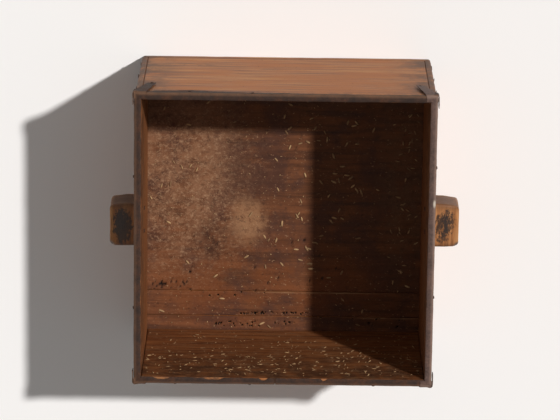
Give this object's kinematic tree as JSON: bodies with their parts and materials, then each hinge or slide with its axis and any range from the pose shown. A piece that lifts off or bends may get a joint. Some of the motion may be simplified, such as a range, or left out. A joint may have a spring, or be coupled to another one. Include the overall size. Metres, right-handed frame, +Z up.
{
  "type": "grain measure",
  "caption": "Square open wooden measure for grain, with nailed board walls, a planked bottom, folded sheet-iron guards on the rim and a whittled block handle on each side.",
  "frame": {"origin": "middle of the underside, on the surface that the measure stands on", "axes": "+Z up out of the mouth, the front board faces -Y, and the handles stick out along +X and -X"},
  "size_m": [0.3864, 0.332, 0.195],
  "materials": {
    "board_wood": "handled bare pine, brown and rubbed smooth",
    "bottom_wood": "dark bare pine with worm holes",
    "handle_wood": "whittled pine, stained by hands",
    "rim_iron": "thin sheet iron, rusted dark brown and rubbed at the edges",
    "nail_iron": "forged, rusted dark"
  },
  "bodies": {
    "root": {"front_board": "board_wood", "back_board": "board_wood", "side_board_left": "board_wood", "side_board_right": "board_wood", "bottom_plank_wide": "bottom_wood", "bottom_plank_middle": "bottom_wood", "bottom_plank_narrow": "bottom_wood", "handle_left": "handle_wood", "handle_right": "handle_wood", "rim_iron_front": "rim_iron", "rim_iron_left": "rim_iron", "rim_iron_right": "rim_iron", "rim_iron_back_left": "rim_iron", "rim_iron_back_right": "rim_iron", "joint_nail_front_left_1": "nail_iron", "joint_nail_front_left_2": "nail_iron", "joint_nail_front_left_3": "nail_iron", "joint_nail_front_right_1": "nail_iron", "joint_nail_front_right_2": "nail_iron", "joint_nail_front_right_3": "nail_iron", "joint_nail_back_left_1": "nail_iron", "joint_nail_back_left_2": "nail_iron", "joint_nail_back_left_3": "nail_iron", "joint_nail_back_right_1": "nail_iron", "joint_nail_back_right_2": "nail_iron", "joint_nail_back_right_3": "nail_iron", "floor_nail_front_1": "nail_iron", "floor_nail_front_2": "nail_iron", "floor_nail_front_3": "nail_iron", "floor_nail_back_1": "nail_iron", "floor_nail_back_2": "nail_iron", "floor_nail_back_3": "nail_iron", "floor_nail_left_1": "nail_iron", "floor_nail_left_2": "nail_iron", "floor_nail_left_3": "nail_iron", "floor_nail_right_1": "nail_iron", "floor_nail_right_2": "nail_iron", "floor_nail_right_3": "nail_iron", "handle_nail_left_1": "nail_iron", "handle_nail_left_2": "nail_iron", "handle_nail_right_1": "nail_iron", "handle_nail_right_2": "nail_iron", "tongue_tack_front_left": "nail_iron", "tongue_tack_front_right": "nail_iron", "tongue_tack_back_left": "nail_iron", "tongue_tack_back_right": "nail_iron", "tab_tack_front_left": "nail_iron", "tab_tack_front_right": "nail_iron", "tab_tack_back_left": "nail_iron", "tab_tack_back_right": "nail_iron", "edge_tack_front_1": "nail_iron", "edge_tack_front_2": "nail_iron", "edge_tack_back_1": "nail_iron", "edge_tack_back_2": "nail_iron", "edge_tack_back_3": "nail_iron", "edge_tack_left_1": "nail_iron", "edge_tack_left_2": "nail_iron", "edge_tack_right_1": "nail_iron", "edge_tack_right_2": "nail_iron"}
  },
  "joints": []
}
